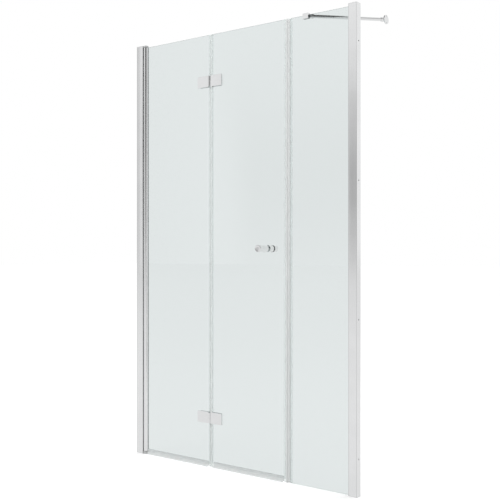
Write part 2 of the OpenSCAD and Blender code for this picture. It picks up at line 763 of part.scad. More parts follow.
module handle_hinge_screws() color("gray")
    for (z = hinge_zs, u = screw_us) on_fold(1, z) hinge_screw(u);
module hinge_pins() color("gray") for (z = hinge_zs)
    rod_z(fold_x, -fold_y, z - knuckle_h / 2 + pin_end, z + knuckle_h / 2 - pin_end, hinge_pin_r);
module hinge_washers() color("white") for (z = hinge_zs)
    translate([fold_x, -fold_y, z - washer_t / 2])
        ring(knuckle_r - fit_gap, hinge_pin_r + fit_gap, washer_t);

module handle_leaf_glass() color([0.85, 0.93, 0.9, 0.5]) difference() {
    leaf_glass(glass2_x0, glass2_x1, 1);
    rod_y(knob_x, knob_z, -glass_t, glass_t, knob_glass_r);
}
module handle_leaf_bottom_seal() color("whitesmoke")
    drip_seal(glass2_x0 + fold_grip_far + seal_end_gap, glass2_x1 - magnet_grip - seal_end_gap);
module handle_leaf_fold_seal() color("whitesmoke")
    fold_strip() translate([glass2_x0, 0]) mirror([1, 0]) bulb_seal_outline();
module door_magnet_seal() color("whitesmoke") translate([glass2_x1, 0, drip_gap])
    linear_extrude(glass_top - drip_gap) magnet_seal_outline();
module door_magnet() color("white") translate([glass2_x1, 0, drip_gap])
    linear_extrude(glass_top - drip_gap) magnet_outline();
module outer_knob() color("silver") at_knob(-1) knob_body(false);
module inner_knob() color("silver") at_knob(1) knob_body(true);
module inner_knob_ring() color("black") at_knob(1)
    translate([0, 0, knob_l - ring_inset - ring_w])
        ring(knob_d / 2 + ring_proud, knob_d / 2 - ring_depth + press_gap, ring_w);
module knob_stud() color("gray")
    rod_y(knob_x, knob_z, -knob_y0 - stud_l, knob_y0 + stud_l, stud_r);
module knob_washers() color("white") for (y = [-knob_y0, glass_half])
    difference() {
        rod_y(knob_x, knob_z, y, y + knob_washer_t, knob_neck_d / 2 - pad_inset);
        rod_y(knob_x, knob_z, y - cut, y + knob_washer_t + cut, stud_r + fit_gap);
    }
module knob_sleeve() color("white") difference() {
    rod_y(knob_x, knob_z, -glass_half, glass_half, knob_glass_r - fit_gap);
    rod_y(knob_x, knob_z, -glass_t, glass_t, stud_r + fit_gap);
}

left_wall_profile();
left_profile_cap();
channel_seal_strip();
upper_pivot_block();
lower_pivot_block();
upper_pivot_pin();
lower_pivot_pin();
pivot_block_screws();
right_wall_profile();
right_profile_cap();
glass_carrier();
carrier_screws();
glazing_gaskets();
setting_block();
base_strip();
fixed_glass();
strike_seal();
strike_magnet();
bar_clamp();
bar_clamp_pads();
bar_clamp_screw();
support_bar();
bar_wall_bracket();
bar_grub_screws();
pivot_profile();
upper_pivot_bush();
lower_pivot_bush();
wall_leaf_glass();
wall_leaf_bottom_seal();
wall_leaf_fold_seal();
upper_outer_plate_wall();
upper_back_plate_wall();
upper_knuckle_wall();
lower_outer_plate_wall();
lower_back_plate_wall();
lower_knuckle_wall();
wall_hinge_pads();
wall_hinge_screws();
hinge_pins();
hinge_washers();
handle_leaf_glass();
handle_leaf_bottom_seal();
handle_leaf_fold_seal();
door_magnet_seal();
door_magnet();
upper_outer_plate_handle();
upper_back_plate_handle();
upper_knuckle_handle();
lower_outer_plate_handle();
lower_back_plate_handle();
lower_knuckle_handle();
handle_hinge_pads();
handle_hinge_screws();
outer_knob();
inner_knob();
inner_knob_ring();
knob_stud();
knob_washers();
knob_sleeve();
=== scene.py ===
"""Folding glass shower door: finishes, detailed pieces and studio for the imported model."""
import json
import math

import bmesh
import bpy
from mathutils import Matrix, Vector


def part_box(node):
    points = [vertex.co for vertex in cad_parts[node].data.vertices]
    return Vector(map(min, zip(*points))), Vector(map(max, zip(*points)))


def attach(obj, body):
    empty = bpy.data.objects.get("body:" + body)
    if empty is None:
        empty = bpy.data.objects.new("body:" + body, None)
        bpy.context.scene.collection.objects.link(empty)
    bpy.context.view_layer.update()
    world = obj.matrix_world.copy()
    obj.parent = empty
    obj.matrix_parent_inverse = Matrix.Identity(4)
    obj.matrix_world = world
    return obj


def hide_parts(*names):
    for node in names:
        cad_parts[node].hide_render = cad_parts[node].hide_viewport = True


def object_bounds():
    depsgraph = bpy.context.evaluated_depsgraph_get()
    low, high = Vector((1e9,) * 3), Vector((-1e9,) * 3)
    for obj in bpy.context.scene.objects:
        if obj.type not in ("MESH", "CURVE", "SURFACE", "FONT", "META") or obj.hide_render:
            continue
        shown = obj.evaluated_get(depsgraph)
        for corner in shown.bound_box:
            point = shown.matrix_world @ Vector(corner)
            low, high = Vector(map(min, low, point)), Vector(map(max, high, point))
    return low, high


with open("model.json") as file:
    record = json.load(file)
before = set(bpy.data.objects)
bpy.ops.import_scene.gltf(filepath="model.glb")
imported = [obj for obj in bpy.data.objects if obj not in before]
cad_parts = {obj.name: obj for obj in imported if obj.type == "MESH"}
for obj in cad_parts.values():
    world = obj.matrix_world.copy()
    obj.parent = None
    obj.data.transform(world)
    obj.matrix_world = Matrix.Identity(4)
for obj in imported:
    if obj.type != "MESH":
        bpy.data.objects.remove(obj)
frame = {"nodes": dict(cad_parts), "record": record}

bl_info = {
    "name": "Folding shower door",
    "version": (1, 0, 0),
    "blender": (4, 5, 0),
    "location": "3D view > Sidebar > Shower door",
    "description": "Finishes and studio of a folding glass shower door",
    "category": "Object",
}

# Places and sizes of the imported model
CAD_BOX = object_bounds()
KNOB_LOW, KNOB_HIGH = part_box("outer_knob")
KNOB_RADIUS = (KNOB_HIGH.x - KNOB_LOW.x) / 2
KNOB_LENGTH = KNOB_HIGH.y - KNOB_LOW.y
INNER_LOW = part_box("inner_knob")[0]
RING_LOW, RING_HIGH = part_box("inner_knob_ring")
LEFT_LOW, LEFT_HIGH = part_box("left_wall_profile")
BAR_LOW, BAR_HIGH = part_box("support_bar")
BAR_CLAMP_END = (BAR_LOW.x, BAR_LOW.y, BAR_HIGH.z)

# Gaps between the panes, from one pane's edge to the next, along X
FOLD = (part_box("wall_leaf_glass")[1].x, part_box("handle_leaf_glass")[0].x)
CLOSING = (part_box("handle_leaf_glass")[1].x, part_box("fixed_glass")[0].x)

# The body that each imported node moves with
BODIES = frame["record"]["behaviour"]["bodies"]
NODE_BODY = {node: body for body, nodes in BODIES.items() for node in nodes}

# Making and cleaning meshes
LATHE_STEPS = 96
ARC_STEPS = 5
ON_AXIS = 1e-9
SAME_POINT = 1e-7
WELD_DISTANCE = 0.000002
FLAT_ANGLE = math.radians(0.5)
CORNER_ANGLE = math.radians(35)
BEVEL_SEGMENTS = 2

# A knob: the blind bore for the stud, and the neck against the washer
BORE_RADIUS = 0.0042
BORE_DEPTH = 0.018
NECK_RADIUS = 0.012
NECK_LENGTH = 0.003
NECK_CHAMFER = 0.0004

# The knob's end: the rim's width in parts of its rounding, the slope's width in parts of the dish's
# depth, and the floor of the dish, by its place in parts of the radius and its depths in the dish's
RIM_WIDTH_IN_EDGES = 1.6
DISH_SLOPE = 3
DISH_STEPS = 6
DISH_FLOOR_AT = 0.4
DISH_FLOOR_DEPTH = 1.05
DISH_MIDDLE_DEPTH = 1.1
KNOB_SHARP_ANGLE = 40

# The inner knob's groove, with a chamfered lip on both sides, and the ring in it
GROOVE_DEPTH = 0.0016
LIP_DEPTH = 0.0003
LIP_REACH = 0.00035
RING_PLAY = 0.00002
RING_ROUNDING = 0.0011
RING_SHARP_ANGLE = 50

# From the glass towards a knob's end
OUTWARD = (0, -1, 0)
INWARD = (0, 1, 0)

# Sockets of the colour Mix node
MIX_SHARE, MIX_A, MIX_B, MIX_RESULT = 0, 6, 7, 2

# Refraction of the glass and of the seals, and how milky a clear seal is where it is seen square on
GLASS_IOR = 1.5
SEAL_IOR = 1.53
CLEAR_COVER = 0.12

# The floor lies this far below the door, so that nothing stands in it
FLOOR_DROP = 0.0006

# Each kind of ray meets a paint of its own on the floor: the light it throws back, and its glow
FLOOR_SEEN = (0.95, 0.30)
FLOOR_THROUGH_GLASS = (0.14, 0.88)
FLOOR_MIRRORED = (0.08, 0.87)
FLOOR_PLAIN = (0.80, 0.0)

# The mirrored floor's glow turns greyer between these distances from the part's origin, in metres
FLOOR_FADE = (2.0, 45.0)
FLOOR_NEAR_GLOW = (1.0, 1.0, 1.0)
FLOOR_FAR_GLOW = (0.82, 0.82, 0.82)

# A dark card beside the camera, which the bar's clamp end mirrors. The bar runs at 45 degrees in
# plan, so the card's reach along it is given in x + y of a ray's direction, and aside of it in
# x - y: of the ray's direction in the room, and in metres from the clamp on the floor
BAR_ALONG = (1, 1, 0)
BAR_ASIDE = (1, -1, 0)
CARD_ALONG = (0.16, 0.24, 0.345, 0.36)
CARD_ASIDE_IN_ROOM = (0.25, 0.5)
CARD_ASIDE_ON_FLOOR = (0.3, 1.5)
CARD_COLOUR = (0.03, 0.03, 0.03)

# Darker places of the room, which mirrored rays alone meet. Each lies at some of the ray's
# directions: where it begins and is full and, if it ends again, where it fades and is gone.
# Their darkness is the share of the light that they take away
DARK_PLACES = {
    "strip": {
        "front": (-0.05, 0.35),
        "up": (-0.109, 0.086, 0.086, 0.281),
        "right": (-0.625, -0.585, -0.36, -0.25)},
    "far_left": {"front": (-0.05, 0.35), "left": (0.61, 0.74)},
    "patch": {"up": (-0.28, 0.22), "front": (0.1, 0.5), "right": (-0.12, 0.02, 0.52, 0.68)},
    "card": {"along": CARD_ALONG, "aside": CARD_ASIDE_IN_ROOM},
    "side": {"up": (-0.05, 0.10), "front": (-0.5, -0.1), "right": (0.50, 0.65)},
    "overhead": {"up": (0.35, 0.70), "front": (-0.6, -0.1), "against": (-0.36, -0.345)},
}
DARKNESS = {
    "strip": 0.52, "far_left": 0.26, "patch": 0.93,
    "card": 0.95, "side": 0.30, "overhead": 0.85}

# The side is darker still for rays that rise
SIDE_DARKER_BY = 0.17
SIDE_DARKER_UP = (0.10, 0.25)

# Lamps and camera
KEY_LAMP_PLACE = (-1.6, -3.0, 3.2)
FILL_LAMP_PLACE = (2.6, 2.4, 3.0)
FILL_LAMP_SHARE = 0.6
LAMP_TARGET = (0.6, 0.0, 1.0)
SENSOR_WIDTH = 36.0
CAMERA_REACH = (0.05, 200.0)


class ShowerDoorFinishes(bpy.types.PropertyGroup):
    """Colours of the door's finishes"""
    profile_colour: bpy.props.FloatVectorProperty(
        name="Profile colour", description="Bright anodised wall profiles",
        subtype="COLOR", size=3, min=0, max=1, default=(0.78, 0.785, 0.79))
    chrome_colour: bpy.props.FloatVectorProperty(
        name="Chrome colour", description="Chrome plate of the hinges, the bar and the knobs' ends",
        subtype="COLOR", size=3, min=0, max=1, default=(0.76, 0.765, 0.77))
    # Painted reflection: a knob's turned side is painted brighter than its chrome, as if it mirrored the
    # bright room
    knob_side_painted_reflection_colour: bpy.props.FloatVectorProperty(
        name="Knob side colour", description="Bright polish of the turned side of a knob",
        subtype="COLOR", size=3, min=0, max=1, default=(0.93, 0.92, 0.92))
    steel_colour: bpy.props.FloatVectorProperty(
        name="Steel colour", description="Screws, pins and studs",
        subtype="COLOR", size=3, min=0, max=1, default=(0.56, 0.56, 0.57))
    glass_colour: bpy.props.FloatVectorProperty(
        name="Glass tint", description="Tint of the clear glass",
        subtype="COLOR", size=3, min=0, max=1, default=(0.752, 0.794, 0.793))
    glass_edge_colour: bpy.props.FloatVectorProperty(
        name="Glass edge tint", description="Pale green of the ground glass edges",
        subtype="COLOR", size=3, min=0, max=1, default=(0.74, 0.82, 0.80))
    seal_colour: bpy.props.FloatVectorProperty(
        name="Seal colour", description="Clear flexible seals",
        subtype="COLOR", size=3, min=0, max=1, default=(0.90, 0.92, 0.92))
    bulb_colour: bpy.props.FloatVectorProperty(
        name="Bulb colour", description="Cloudy middle of the seal along the fold",
        subtype="COLOR", size=3, min=0, max=1, default=(0.84, 0.87, 0.865))
    head_colour: bpy.props.FloatVectorProperty(
        name="Head colour", description="Milky heads of the two closing seals",
        subtype="COLOR", size=3, min=0, max=1, default=(0.92, 0.93, 0.93))
    magnet_colour: bpy.props.FloatVectorProperty(
        name="Magnet colour", description="Magnet strips inside the closing seals",
        subtype="COLOR", size=3, min=0, max=1, default=(0.93, 0.935, 0.935))
    rubber_colour: bpy.props.FloatVectorProperty(
        name="Rubber colour", description="Gaskets, pads and setting block",
        subtype="COLOR", size=3, min=0, max=1, default=(0.30, 0.30, 0.31))
    black_colour: bpy.props.FloatVectorProperty(
        name="Black colour", description="The knob's buffer ring",
        subtype="COLOR", size=3, min=0, max=1, default=(0.018, 0.018, 0.019))
    nylon_colour: bpy.props.FloatVectorProperty(
        name="Nylon colour", description="Bushes, washers, the sleeve and the glass pads",
        subtype="COLOR", size=3, min=0, max=1, default=(0.72, 0.74, 0.74))
    block_colour: bpy.props.FloatVectorProperty(
        name="Block colour", description="Moulded pivot blocks",
        subtype="COLOR", size=3, min=0, max=1, default=(0.55, 0.56, 0.56))


class ShowerDoorSizes(bpy.types.PropertyGroup):
    """Rounding of the door's edges, and its other fine shapes"""
    metal_edge: bpy.props.FloatProperty(
        name="Metal edge", description="Rounding of plates, caps and clamp",
        unit="LENGTH", min=0.0001, max=0.001, precision=5, default=0.0005)
    profile_edge: bpy.props.FloatProperty(
        name="Profile edge", description="Rounding of the wall profiles' edges",
        unit="LENGTH", min=0.0001, max=0.001, precision=5, default=0.0003)
    profile_crown: bpy.props.FloatProperty(
        name="Profile crown", description="Tilt of a wall profile's face at its edges",
        subtype="ANGLE", min=0, max=0.2, default=math.radians(4.0))
    small_edge: bpy.props.FloatProperty(
        name="Small edge", description="Rounding of screws, pins and thin profiles",
        unit="LENGTH", min=0.00005, max=0.0005, precision=5, default=0.0002)
    glass_edge: bpy.props.FloatProperty(
        name="Glass arris", description="Ground bevel along the glass edges",
        unit="LENGTH", min=0.0002, max=0.002, precision=5, default=0.0006)
    glass_clearance: bpy.props.FloatProperty(
        name="Glass clearance", description="Gap between the glass and what holds it",
        unit="LENGTH", min=0.0, max=0.0002, precision=5, default=0.00006)
    knob_edge: bpy.props.FloatProperty(
        name="Knob edge", description="Rounding of a knob's rim",
        unit="LENGTH", min=0.0005, max=0.003, precision=5, default=0.0013)
    knob_dish: bpy.props.FloatProperty(
        name="Knob dish", description="Depth of the shallow dish in a knob's end",
        unit="LENGTH", min=0.0, max=0.002, precision=5, default=0.0006)


class ShowerDoorStudio(bpy.types.PropertyGroup):
    """Camera, floor and light"""
    camera_place: bpy.props.FloatVectorProperty(
        name="Camera place", description="Where the camera stands",
        subtype="TRANSLATION", unit="LENGTH", size=3, default=(2.751, -2.807, 0.974))
    camera_azimuth: bpy.props.FloatProperty(
        name="Camera azimuth", description="Turn of the camera from the door's outside face",
        subtype="ANGLE", default=math.radians(36.6))
    lens: bpy.props.FloatProperty(
        name="Lens", description="Focal length on a 36 mm sensor",
        unit="CAMERA", min=20, max=200, default=58.08)
    floor_size: bpy.props.FloatProperty(
        name="Floor size", description="Width of the pale floor",
        unit="LENGTH", min=5, max=200, default=80)
    lamp_size: bpy.props.FloatProperty(
        name="Lamp size", description="Side of a soft lamp",
        unit="LENGTH", min=0.2, max=5, default=2.4)
    lamp_power: bpy.props.FloatProperty(
        name="Lamp power", description="Power of the key lamp",
        unit="POWER", min=0, max=500, default=50)
    ambient: bpy.props.FloatProperty(
        name="Ambient", description="Strength of the even studio light",
        min=0, max=2, default=0.78)


class Value:
    """An output socket; arithmetic on it adds Math nodes to its tree."""

    def __init__(self, shader, socket):
        self.shader, self.socket = shader, socket

    def math(self, operation, *inputs):
        return self.shader.add("ShaderNodeMath", {"operation": operation}, dict(enumerate(inputs)))

    def __add__(self, other):
        return self.math("ADD", self, other)

    def __radd__(self, other):
        return self.math("ADD", other, self)

    def __sub__(self, other):
        return self.math("SUBTRACT", self, other)

    def __rsub__(self, other):
        return self.math("SUBTRACT", other, self)

    def __mul__(self, other):
        return self.math("MULTIPLY", self, other)

    def __rmul__(self, other):
        return self.math("MULTIPLY", other, self)

    def __truediv__(self, other):
        return self.math("DIVIDE", self, other)

    def __rtruediv__(self, other):
        return self.math("DIVIDE", other, self)

    def __neg__(self):
        return self.math("MULTIPLY", self, -1.0)

    def __abs__(self):
        return self.math("ABSOLUTE", self)

    def capped(self):
        """The value, but 1 at most"""
        return self.math("MINIMUM", self, 1.0)

    def ramp(self, low, high):
        """0 up to low, 1 from high on, smooth between"""
        settings = {"interpolation_type": "SMOOTHSTEP"}
        sockets = {"Value": self, "From Min": low, "From Max": high}
        return self.shader.add("ShaderNodeMapRange", settings, sockets)

    def band(self, begins, full, fades=None, gone=None):
        """0 up to begins, 1 from full on and, where the last two are given, 0 again from gone on"""
        rising = self.ramp(begins, full)
        if gone is None:
            return rising
        return rising * (1.0 - self.ramp(fades, gone))


class Shader:
    """Builds the nodes of one material or world."""

    def __init__(self, tree):
        self.tree = tree
        tree.nodes.clear()

    def add(self, kind, settings=None, sockets=None, out=0):
        """Adds a node: its settings first, then its sockets' values or links. Returns one output."""
        node = self.tree.nodes.new(kind)
        for name, value in (settings or {}).items():
            setattr(node, name, value)
        for key, value in (sockets or {}).items():
            if isinstance(value, Value):
                self.tree.links.new(value.socket, node.inputs[key])
            else:
                node.inputs[key].default_value = value
        return Value(self, node.outputs[out]) if node.outputs else None

    def part(self, vector, axis):
        """One of the three numbers of a vector"""
        return self.add("ShaderNodeSeparateXYZ", {}, {"Vector": vector}, out=axis)

    def vector_math(self, operation, *vectors, out="Value"):
        """Maths on vectors; a length or a dot product comes out as Value"""
        settings = {"operation": operation}
        return self.add("ShaderNodeVectorMath", settings, dict(enumerate(vectors)), out=out)

    def place(self):
        """Coordinates in the part's own frame, in metres"""
        return self.add("ShaderNodeTexCoord", out="Object")

    def faced(self, axis):
        """How squarely a face looks along an axis of its piece, 0 to 1"""
        normal = self.add("ShaderNodeNewGeometry", out="True Normal")
        to_piece = {"vector_type": "NORMAL", "convert_from": "WORLD", "convert_to": "OBJECT"}
        return abs(self.part(self.add("ShaderNodeVectorTransform", to_piece, {"Vector": normal}), axis))

    def noise(self, scale, detail=3.0, where=None):
        """Soft noise of about scale spots to the metre"""
        sockets = {"Vector": where or self.place(), "Scale": scale, "Detail": detail}
        return self.add("ShaderNodeTexNoise", {}, sockets, out="Fac")

    def streaks(self, sideways, upwards, detail=3.0):
        """Noise of about so many spots to the metre sideways, and so many upwards"""
        sockets = {"Vector": self.place(), "Scale": (sideways, sideways, upwards)}
        return self.noise(1.0, detail, self.add("ShaderNodeMapping", {}, sockets))

    def mix_colour(self, share, a, b):
        """Mixes two colours, each a value or three numbers"""
        a, b = (colour if isinstance(colour, Value) else (*colour, 1.0) for colour in (a, b))
        sockets = {MIX_SHARE: share, MIX_A: a, MIX_B: b}
        return self.add("ShaderNodeMix", {"data_type": "RGBA"}, sockets, out=MIX_RESULT)

    def varied(self, share, colour, low, high):
        """A colour that goes from low times itself to high times itself as the share grows"""
        return self.mix_colour(share, shade(colour, low), shade(colour, high))

    def bump(self, height, distance, strength=1.0):
        sockets = {"Height": height, "Distance": distance, "Strength": strength}
        return self.add("ShaderNodeBump", {}, sockets)

    def principled(self, **sockets):
        """The main surface shader; an underscore in a socket's name stands for a space"""
        named = {key.replace("_", " "): value for key, value in sockets.items()}
        return self.add("ShaderNodeBsdfPrincipled", {}, named)

    def transparent(self, colour):
        return self.add("ShaderNodeBsdfTransparent", {}, {"Color": (*colour, 1.0)})

    def background(self, strength):
        white = (1.0, 1.0, 1.0, 1.0)
        return self.add("ShaderNodeBackground", {}, {"Color": white, "Strength": strength})

    def mix_shader(self, share, a, b):
        return self.add("ShaderNodeMixShader", {}, {0: share, 1: a, 2: b})

    def light_path(self, output):
        """What kind of ray meets the surface"""
        return self.add("ShaderNodeLightPath", out=output)

    def mirrored_once(self):
        """1 for a ray that metal or glass mirrored, also where it then passed through glass"""
        return self.light_path("Glossy Depth").capped() * (1.0 - self.light_path("Is Diffuse Ray"))

    def surface(self, shader):
        self.add("ShaderNodeOutputMaterial", {}, {"Surface": shader})


def material(name):
    """The material of that name, emptied, and its node builder"""
    mat = bpy.data.materials.get(name)
    if mat is None:
        mat = bpy.data.materials.new(name)
    mat.use_nodes = True
    return mat, Shader(mat.node_tree)


def shade(colour, factor):
    """A colour times a factor, 1 at most"""
    return tuple(min(1.0, channel * factor) for channel in colour)


def drawn_aluminium(name, colour, crown=0.0):
    """Bright anodised extrusion with fine die lines; crown tilts a wall profile's face at its edges, and
    a band of painted shade darkens the face along them
    """
    # Where the painted shade along a profile face's edges begins and is full, in metres in from the
    # edge, and how dark it is
    painted_shade_begins, painted_shade_full, painted_shade_factor = 0.0045, 0.003, 0.86
    line_height = 0.0000015
    mat, s = material(name)
    lines = s.streaks(sideways=900.0, upwards=3.0, detail=4.0)
    cloud = s.noise(9.0, 2.0)
    tone = s.varied(cloud.ramp(0.3, 0.7), colour, low=0.975, high=1.02)
    height = line_height * lines
    if crown:
        half = (LEFT_HIGH.x - LEFT_LOW.x) / 2
        middle = (CAD_BOX[0].x + CAD_BOX[1].x) / 2
        across = abs(s.part(s.place(), "X") - middle) - (middle - LEFT_LOW.x - half)
        # Painted shade: the outer band of a wall profile's front and back faces is darkened along its
        # long edges
        rim = abs(across).ramp(half - painted_shade_begins, half - painted_shade_full) * s.faced("Y").ramp(0.6, 0.9)
        tone = s.mix_colour(rim, tone, shade(colour, painted_shade_factor))
        height = across * across * (-math.tan(crown) / (2 * half)) + height
    s.surface(s.principled(
        Base_Color=tone, Metallic=1.0, Roughness=0.10 + 0.07 * lines + 0.03 * cloud,
        Normal=s.bump(height, distance=1.0)))
    return mat


def satin_aluminium(colour):
    """Plain extrusion of the hidden carrier"""
    mat, s = material("satin_aluminium")
    lines = s.streaks(sideways=700.0, upwards=4.0, detail=4.0)
    s.surface(s.principled(
        Base_Color=s.varied(lines, colour, low=0.85, high=0.95), Metallic=1.0,
        Roughness=0.28 + 0.12 * lines, Normal=s.bump(lines, distance=0.00003, strength=0.4)))
    return mat


def chrome_plate(colour, name="chrome_plate", painted_reflection_colour=None):
    """Polished chrome with faint wiped marks; a second colour, if given, is a painted reflection on
    faces that don't look along Y
    """
    mat, s = material(name)
    wipe = s.streaks(sideways=60.0, upwards=220.0)
    marked = wipe.ramp(0.35, 0.75)
    specks = s.noise(420.0, 2.0)
    tone = s.varied(marked, colour, low=0.98, high=1.015)
    if painted_reflection_colour:
        # Painted reflection: faces that don't look along Y get the brighter second colour
        side = s.varied(marked, painted_reflection_colour, low=0.98, high=1.015)
        tone = s.mix_colour(s.faced("Y").ramp(0.3, 0.8), side, tone)
    s.surface(s.principled(
        Base_Color=tone, Metallic=1.0, Roughness=0.035 + 0.05 * wipe.ramp(0.4, 0.8) + 0.01 * specks,
        Normal=s.bump(specks, distance=0.000008, strength=0.2)))
    return mat


def turned_steel(colour):
    """Stainless screws and pins with fine turning marks"""
    mat, s = material("turned_steel")
    marks = s.streaks(sideways=500.0, upwards=1500.0)
    s.surface(s.principled(
        Base_Color=s.varied(marks, colour, low=0.88, high=1.06), Metallic=1.0,
        Roughness=0.22 + 0.12 * marks, Normal=s.bump(marks, distance=0.00002, strength=0.3)))
    return mat


def clear_glass(face, edge):
    """Clear toughened glass: pale faces, green ground edges, a faint roller wave"""
    ground_share = 0.85
    mat, s = material("clear_glass")
    wave = s.streaks(sideways=0.8, upwards=6.0, detail=1.0)
    pane = s.principled(
        Base_Color=(*face, 1.0), Roughness=0.0, IOR=GLASS_IOR, Transmission_Weight=1.0,
        Normal=s.bump(wave, distance=0.0001, strength=0.12))
    grind = s.noise(1800.0)
    ground = s.principled(
        Base_Color=s.varied(grind, edge, low=0.92, high=1.06), Roughness=0.32 + 0.2 * grind,
        IOR=GLASS_IOR, Normal=s.bump(grind, distance=0.00002, strength=0.3))
    body = s.mix_shader(ground_share - ground_share * s.faced("Y").ramp(0.75, 0.95), pane, ground)
    # A lamp's ray goes through two faces of a pane, so each lets the root of the tint through
    passed = s.transparent(math.sqrt(channel) for channel in face)
    s.surface(s.mix_shader(s.light_path("Is Shadow Ray"), body, passed))
    return mat


def clear_seal(name, colour, cover, core=None, core_colour=None, core_cover=0.0):
    """Flexible seal; cover is how milky it is seen square on, and a core lies between two x values"""
    fade_outside, fade_inside = 0.0003, 0.0002
    edge_on_cover = 0.7
    less_for_lamps = 0.85
    mat, s = material(name)
    cloud = s.noise(26.0)
    draw = s.streaks(sideways=600.0, upwards=5.0)
    tone = s.varied(cloud, colour, low=0.96, high=1.03)
    if core:
        start, end = core
        inside = s.part(s.place(), "X").band(
            start - fade_outside, start + fade_inside, end - fade_inside, end + fade_outside)
        tone = s.mix_colour(inside, tone, s.varied(cloud, core_colour, low=0.97, high=1.03))
        cover = cover + (core_cover - cover) * inside
    body = s.principled(
        Base_Color=tone, Roughness=0.20 + 0.15 * draw, IOR=SEAL_IOR,
        Coat_Weight=0.3, Coat_Roughness=0.15, Normal=s.bump(draw, distance=0.00001, strength=0.3))
    rim = s.add("ShaderNodeLayerWeight", {}, {"Blend": 0.35}, out="Facing")
    milky = cover + (edge_on_cover - cover) * rim * rim * rim
    stopping = milky * (1.0 - less_for_lamps * s.light_path("Is Shadow Ray"))
    s.surface(s.mix_shader(stopping, s.transparent((0.99, 0.995, 0.994)), body))
    return mat


def soft_rubber(name, colour, roughness):
    """Rubber or flexible magnet with a fine matt grain"""
    mat, s = material(name)
    grain = s.noise(1400.0)
    s.surface(s.principled(
        Base_Color=s.varied(s.noise(40.0, 2.0), colour, low=0.85, high=1.15),
        Roughness=roughness + 0.18 * grain, Normal=s.bump(grain, distance=0.00004, strength=0.4)))
    return mat


def moulded_plastic(name, colour, roughness):
    """Moulded plastic with a fine spark-eroded grain"""
    mat, s = material(name)
    grain = s.noise(900.0, 4.0)
    s.surface(s.principled(
        Base_Color=s.varied(s.noise(30.0, 2.0), colour, low=0.9, high=1.08),
        Roughness=roughness + 0.12 * grain, Normal=s.bump(grain, distance=0.00003, strength=0.4)))
    return mat


def finish_node(name, mat, edge=0.0, clearance=0.0):
    """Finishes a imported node, rounds its sharp edges by edge and draws its faces in by clearance"""
    obj = frame["nodes"][name]
    if not obj.material_slots:
        obj.data.materials.append(mat)
    for slot in obj.material_slots:
        slot.material = mat
    if clearance:
        seat = obj.modifiers.new("clearance", "DISPLACE")
        seat.strength = -clearance
        seat.mid_level = 0.0
    if edge:
        weld = obj.modifiers.new("weld", "WELD")
        weld.merge_threshold = WELD_DISTANCE
        flat = obj.modifiers.new("flat_faces", "DECIMATE")
        flat.decimate_type = "DISSOLVE"
        flat.angle_limit = FLAT_ANGLE
        bevel = obj.modifiers.new("rounded_edges", "BEVEL")
        bevel.width = edge
        bevel.segments = BEVEL_SEGMENTS
        bevel.limit_method = "ANGLE"
        bevel.angle_limit = CORNER_ANGLE
        bevel.use_clamp_overlap = True
        bevel.harden_normals = False
        normals = obj.modifiers.new("face_normals", "WEIGHTED_NORMAL")
        normals.keep_sharp = True


def finish_nodes(names, mat, edge=0.0, clearance=0.0):
    """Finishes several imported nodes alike"""
    for name in names:
        finish_node(name, mat, edge, clearance)


def lathe(name, outline, centre, direction):
    """Turns an outline of (radius, distance) points about an axis that starts at centre"""
    axis = Vector(direction).normalized()
    side = axis.orthogonal().normalized()
    other = axis.cross(side)
    turns = [math.tau * i / LATHE_STEPS for i in range(LATHE_STEPS)]
    spokes = [side * math.cos(turn) + other * math.sin(turn) for turn in turns]
    bm = bmesh.new()
    rings = []
    for radius, distance in outline:
        hub = Vector(centre) + axis * distance
        if radius < ON_AXIS:
            rings.append([bm.verts.new(hub)])
        else:
            rings.append([bm.verts.new(hub + spoke * radius) for spoke in spokes])
    for near, far in zip(rings, rings[1:]):
        for i in range(LATHE_STEPS):
            j = (i + 1) % LATHE_STEPS
            if len(near) == 1:
                bm.faces.new((near[0], far[i], far[j]))
            elif len(far) == 1:
                bm.faces.new((near[i], far[0], near[j]))
            else:
                bm.faces.new((near[i], far[i], far[j], near[j]))
    return bm_object(name, bm)


def bm_object(name, bm):
    """An object of the mesh, with doubled points joined and its faces turned outward"""
    bmesh.ops.remove_doubles(bm, verts=bm.verts, dist=SAME_POINT)
    bmesh.ops.recalc_face_normals(bm, faces=bm.faces)
    mesh = bpy.data.meshes.new(name)
    bm.to_mesh(mesh)
    bm.free()
    obj = bpy.data.objects.new(name, mesh)
    bpy.context.scene.collection.objects.link(obj)
    return obj


def smooth(obj, angle):
    """Smooth shading, with edges sharper than the angle in degrees kept sharp"""
    obj.data.shade_smooth()
    obj.data.set_sharp_from_angle(angle=math.radians(angle))


def rounded(centre_r, centre_t, radius, start, end):
    """Points of an arc in a lathe's (radius, distance) plane, angles in degrees"""
    turns = [math.radians(start + (end - start) * i / ARC_STEPS) for i in range(ARC_STEPS + 1)]
    return [(centre_r + radius * math.cos(turn), centre_t + radius * math.sin(turn)) for turn in turns]


def piece(obj, mat, node):
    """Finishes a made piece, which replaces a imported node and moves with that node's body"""
    obj.data.materials.append(mat)
    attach(obj, NODE_BODY[node])
    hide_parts(node)


class DoorOperator:
    """Shared parts of the door's operators"""
    bl_options = {"REGISTER", "UNDO"}

    def settings(self, context):
        return context.scene.shower_door_finishes, context.scene.shower_door_sizes


class SHOWERDOOR_OT_glass(DoorOperator, bpy.types.Operator):
    """Finish the two leaves and the fixed panel of glass"""
    bl_idname = "shower_door.glass"
    bl_label = "Glass"

    def execute(self, context):
        colours, sizes = self.settings(context)
        glass = clear_glass(colours.glass_colour, colours.glass_edge_colour)
        panes = ("wall_leaf_glass", "handle_leaf_glass", "fixed_glass")
        finish_nodes(panes, glass, sizes.glass_edge, sizes.glass_clearance)
        return {"FINISHED"}


